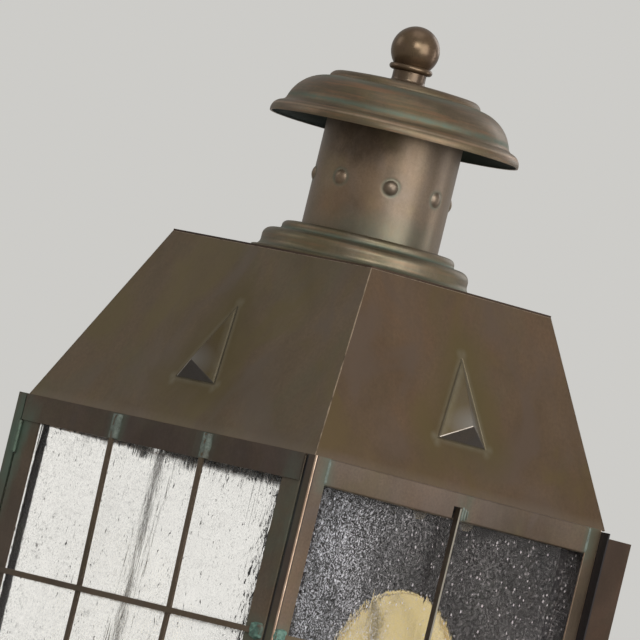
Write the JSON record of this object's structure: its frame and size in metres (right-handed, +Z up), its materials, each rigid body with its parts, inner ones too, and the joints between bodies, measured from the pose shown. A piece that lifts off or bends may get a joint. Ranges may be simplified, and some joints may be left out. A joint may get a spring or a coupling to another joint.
{
  "type": "wall lantern",
  "caption": "Copper wall lantern with a hipped roof, capped round chimney, seeded glass sides and a glazed front door on two hinges",
  "frame": {"origin": "centre of the wall strap's back face, midway between the two wall screw holes, on the wall plane", "axes": "X across the wall, Y into the wall so that the front faces -Y, Z up"},
  "size_m": [0.2714, 0.2257, 0.5201],
  "materials": {
    "aged_copper": "brown patina, satin, green at the joints",
    "dark_copper": "dark brown patina, satin",
    "polished_brass": "polished",
    "plain_brass": "satin",
    "zinc_steel": "zinc plated",
    "lamp_metal": "bright",
    "seeded_glass": "clear with small bubbles",
    "clear_pad": "clear",
    "lamp_glass": "clear",
    "filament": "yellow",
    "black_rubber": "matt",
    "white_ceramic": "glazed",
    "block_plastic": "matt"
  },
  "bodies": {
    "lantern": {"wall_strap": "zinc_steel", "strap_studs": "zinc_steel", "stud_cap_nuts": "plain_brass", "wall_pan": "dark_copper", "back_panel": "aged_copper", "cable_grommet": "black_rubber", "terminal_block": "block_plastic", "earth_stud": "plain_brass", "front_left_post": "aged_copper", "front_right_post": "aged_copper", "rear_left_post": "aged_copper", "rear_right_post": "aged_copper", "front_head_rail": "aged_copper", "front_sill_rail": "aged_copper", "left_top_rail": "aged_copper", "right_top_rail": "aged_copper", "left_bottom_rail": "aged_copper", "right_bottom_rail": "aged_copper", "left_glass": "seeded_glass", "right_glass": "seeded_glass", "glass_keepers": "dark_copper", "glass_pads": "clear_pad", "side_upright_bars": "aged_copper", "side_cross_bars": "aged_copper", "base_plate": "dark_copper", "roof_front_panel": "aged_copper", "roof_rear_panel": "aged_copper", "roof_left_panel": "aged_copper", "roof_right_panel": "aged_copper", "roof_top_plate": "aged_copper", "chimney_collar": "aged_copper", "chimney": "aged_copper", "cap_bridge": "aged_copper", "chimney_cap": "aged_copper", "finial": "aged_copper", "finial_rod": "plain_brass", "finial_nut": "plain_brass", "reflector": "polished_brass", "reflector_rivets": "plain_brass", "lamp_stem": "plain_brass", "stem_nuts": "plain_brass", "lamp_holder": "plain_brass", "lamp_holder_insert": "white_ceramic", "lamp_cap": "lamp_metal", "lamp_glass": "lamp_glass", "lamp_filament": "filament", "hinge_fixed_leaves": "aged_copper", "hinge_pins": "plain_brass", "button_rivet": "plain_brass"},
    "door": {"door_hinge_stile": "aged_copper", "door_free_stile": "aged_copper", "door_top_rail": "aged_copper", "door_bottom_rail": "aged_copper", "door_glass": "seeded_glass", "door_glass_clips": "aged_copper", "door_upright_bars": "aged_copper", "door_cross_bars": "aged_copper", "hinge_door_leaves": "aged_copper"},
    "button": {"turn_button": "aged_copper"}
  },
  "joints": [
    {"name": "door_swing", "type": "hinge", "parent": "lantern", "child": "door", "pos_m": [-0.1223, -0.223, 0], "axis": [0, 0, -1], "range_deg": [0, 110]},
    {"name": "button_turn", "type": "hinge", "parent": "lantern", "child": "button", "pos_m": [0.12665, -0.2235, 0], "axis": [0, 1, 0], "range_deg": [0, 90]}
  ]
}
